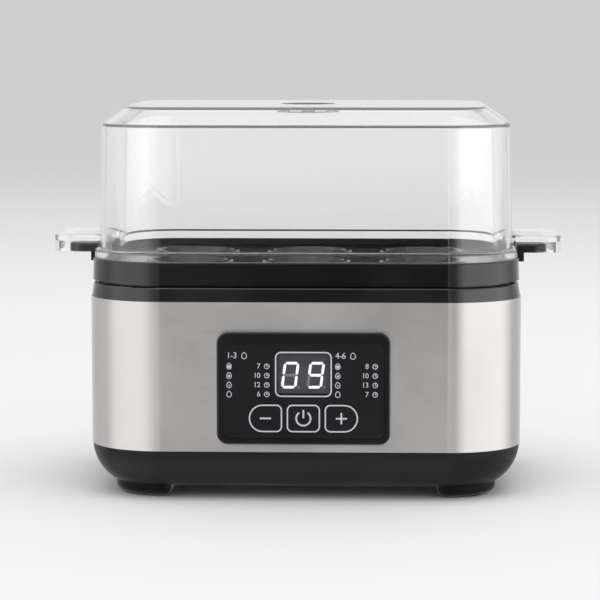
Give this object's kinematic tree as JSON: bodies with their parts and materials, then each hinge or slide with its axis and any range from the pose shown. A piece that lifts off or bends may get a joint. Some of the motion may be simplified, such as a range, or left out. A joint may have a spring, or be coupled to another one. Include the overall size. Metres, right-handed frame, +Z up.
{
  "type": "electric egg cooker",
  "caption": "Countertop electric egg cooker: brushed steel body with a key and display panel, black egg tray with side grips, and a clear lift-off lid with side grips.",
  "frame": {"origin": "centre of the footprint, at the level of the feet", "axes": "+Z up, +X to the right along the long side, -Y to the front, where the panel is"},
  "size_m": [0.2488, 0.1522, 0.1866],
  "materials": {
    "housing_plastic": "satin moulded black",
    "foot_rubber": "matt black rubber",
    "sleeve_steel": "brushed stainless sheet",
    "trim_plastic": "semi-gloss moulded black",
    "tray_plastic": "semi-gloss moulded black",
    "lid_clear": "clear polished moulding",
    "gasket_silicone": "grey silicone",
    "pan_steel": "drawn stainless",
    "screw_steel": "zinc plated",
    "bracket_steel": "zinc plated sheet",
    "element_steel": "oxidised steel tube",
    "spreader_aluminium": "die-cast",
    "thermostat_body": "dark phenolic with a metal cap",
    "fuse_metal": "plated can",
    "lead_insulation": "heat-proof silicone lead",
    "panel_gloss": "gloss black",
    "fascia_print": "gloss black with pale print",
    "display_lens": "smoked clear window",
    "key_plastic": "gloss black with pale print",
    "switch_plastic": "moulded black",
    "module_plastic": "moulded black",
    "board_laminate": "green circuit laminate",
    "relay_plastic": "blue relay case",
    "transformer_core": "yellow taped winding and ferrite",
    "capacitor_can": "sleeved aluminium can",
    "terminal_plastic": "natural nylon",
    "ribbon_insulation": "grey flat cable",
    "gland_rubber": "black rubber"
  },
  "bodies": {
    "base": {"lower_housing": "housing_plastic", "foot_pad_front_left": "foot_rubber", "foot_pad_front_right": "foot_rubber", "foot_pad_rear_left": "foot_rubber", "foot_pad_rear_right": "foot_rubber", "steel_sleeve": "sleeve_steel", "top_collar": "trim_plastic", "body_screws": "screw_steel", "pan_gasket": "gasket_silicone", "water_pan": "pan_steel", "pan_clamps": "bracket_steel", "clamp_screws": "screw_steel", "heating_element": "element_steel", "heat_spreader": "spreader_aluminium", "thermostat": "thermostat_body", "thermostat_strap": "bracket_steel", "thermal_fuse": "fuse_metal", "fuse_clip": "bracket_steel", "heater_screws": "screw_steel", "heater_leads": "lead_insulation", "control_bezel": "panel_gloss", "fascia": "fascia_print", "display_window": "display_lens", "key_switches": "switch_plastic", "display_module": "module_plastic", "control_board": "board_laminate", "board_screws": "screw_steel", "buzzer": "module_plastic", "processor": "module_plastic", "power_board": "board_laminate", "power_board_screws": "screw_steel", "relay": "relay_plastic", "transformer": "transformer_core", "capacitor": "capacitor_can", "terminal_block": "terminal_plastic", "ribbon_socket": "terminal_plastic", "ribbon_cable": "ribbon_insulation", "cord_gland": "gland_rubber"},
    "egg_tray": {"egg_tray": "tray_plastic"},
    "lid": {"lid": "lid_clear"},
    "minus_button": {"minus_key": "key_plastic", "minus_plunger": "switch_plastic"},
    "power_button": {"power_key": "key_plastic", "power_plunger": "switch_plastic"},
    "plus_button": {"plus_key": "key_plastic", "plus_plunger": "switch_plastic"}
  },
  "joints": [
    {"name": "tray_lift", "type": "slide", "parent": "base", "child": "egg_tray", "axis": [0, 0, 1], "range_m": [0, 0.07]},
    {"name": "lid_lift", "type": "slide", "parent": "egg_tray", "child": "lid", "axis": [0, 0, 1], "range_m": [0, 0.12]},
    {"name": "minus_press", "type": "slide", "parent": "base", "child": "minus_button", "axis": [0, 1, 0], "range_m": [0, 0.0008], "stiffness_N_per_m": 300},
    {"name": "power_press", "type": "slide", "parent": "base", "child": "power_button", "axis": [0, 1, 0], "range_m": [0, 0.0008], "stiffness_N_per_m": 300},
    {"name": "plus_press", "type": "slide", "parent": "base", "child": "plus_button", "axis": [0, 1, 0], "range_m": [0, 0.0008], "stiffness_N_per_m": 300}
  ]
}
